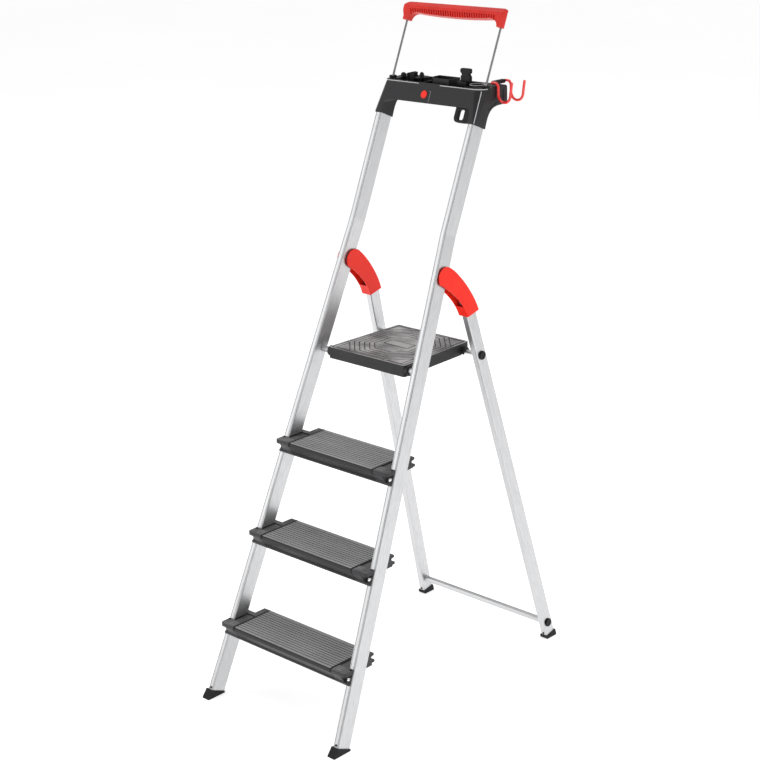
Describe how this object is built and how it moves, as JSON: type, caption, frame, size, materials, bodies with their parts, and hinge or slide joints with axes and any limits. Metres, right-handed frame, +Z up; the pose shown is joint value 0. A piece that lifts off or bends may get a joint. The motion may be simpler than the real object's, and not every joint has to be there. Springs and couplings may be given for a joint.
{
  "type": "platform step ladder",
  "caption": "Folding platform step ladder with ribbed treads, a tool tray with bucket hooks and a sliding hand rail.",
  "frame": {"origin": "on the floor, in the middle of the open ladder's footprint", "axes": "+X to the climber's right, +Y from the treads to the rear legs, +Z up"},
  "size_m": [0.4908, 0.8878, 1.7339],
  "materials": {
    "aluminium": "satin extruded aluminium",
    "steel": "bright plated steel",
    "black_plastic": "moulded black plastic",
    "black_rubber": "matte black rubber-like moulding",
    "tread_grey": "dark grey ribbed plastic",
    "deck_grey": "grey grooved plastic",
    "tray_grey": "dark grey moulded plastic",
    "red_plastic": "bright red semi-gloss plastic",
    "red_steel": "red dipped or painted wire"
  },
  "bodies": {
    "root": {"bit_box": "tray_grey", "bucket_hook_front": "red_steel", "bucket_hook_rear": "red_steel", "cable_loop": "black_plastic", "clamp_base": "black_plastic", "front_foot_left": "black_rubber", "front_foot_plug_left": "black_plastic", "front_foot_plug_right": "black_plastic", "front_foot_right": "black_rubber", "hook_clip": "black_plastic", "platform_axle": "aluminium", "rod_collar_left": "black_plastic", "rod_collar_right": "black_plastic", "stile_left": "aluminium", "stile_right": "aluminium", "tray": "tray_grey", "tray_badge": "red_plastic", "tray_cap": "black_plastic", "tray_clip": "black_plastic", "tray_peg": "black_plastic", "tray_ring": "tray_grey", "tread_bracket_lower_left": "tread_grey", "tread_bracket_lower_right": "tread_grey", "tread_bracket_middle_left": "tread_grey", "tread_bracket_middle_right": "tread_grey", "tread_bracket_upper_left": "tread_grey", "tread_bracket_upper_right": "tread_grey", "tread_lower": "tread_grey", "tread_middle": "tread_grey", "tread_upper": "tread_grey"},
    "rear_frame": {"hinge_arm_inner_left": "steel", "hinge_arm_inner_right": "steel", "hinge_arm_outer_left": "steel", "hinge_arm_outer_right": "steel", "hinge_cover_inner_left": "red_plastic", "hinge_cover_inner_right": "red_plastic", "hinge_cover_outer_left": "red_plastic", "hinge_cover_outer_right": "red_plastic", "hinge_pin_left": "steel", "hinge_pin_right": "steel", "platform_rest_rod": "aluminium", "rear_foot_left": "black_rubber", "rear_foot_plug_left": "black_plastic", "rear_foot_plug_right": "black_plastic", "rear_foot_right": "black_rubber", "rear_leg_left": "aluminium", "rear_leg_right": "aluminium", "rear_strut": "aluminium", "rest_rod_cap_left": "black_plastic", "rest_rod_cap_right": "black_plastic", "strut_cap_left": "black_plastic", "strut_cap_right": "black_plastic", "strut_rivet_left": "steel", "strut_rivet_right": "steel"},
    "platform": {"platform_deck": "deck_grey"},
    "handle": {"handle_grip": "red_plastic", "handle_rod_left": "steel", "handle_rod_right": "steel"},
    "clamp": {"clamp_knob": "black_plastic"}
  },
  "joints": [
    {"name": "rear_fold", "type": "hinge", "parent": "root", "child": "rear_frame", "pos_m": [0, 0.08261, 1.101], "axis": [-1, 0, 0], "range_deg": [0, 37.77]},
    {"name": "platform_fold", "type": "hinge", "parent": "root", "child": "platform", "pos_m": [0, -0.01939, 0.8766], "axis": [1, 0, 0], "range_deg": [0, 66.5]},
    {"name": "handle_slide", "type": "slide", "parent": "root", "child": "handle", "axis": [0, 0.4007, 0.9162], "range_m": [-0.115, 0]},
    {"name": "clamp_turn", "type": "hinge", "parent": "root", "child": "clamp", "pos_m": [0.085, 0.27721, 1.5565], "axis": [0, 0, 1], "range_deg": [0, 90]}
  ],
  "couplings": [
    {"joint": "platform_fold", "follows": "rear_fold", "ratio": 1.757}
  ]
}
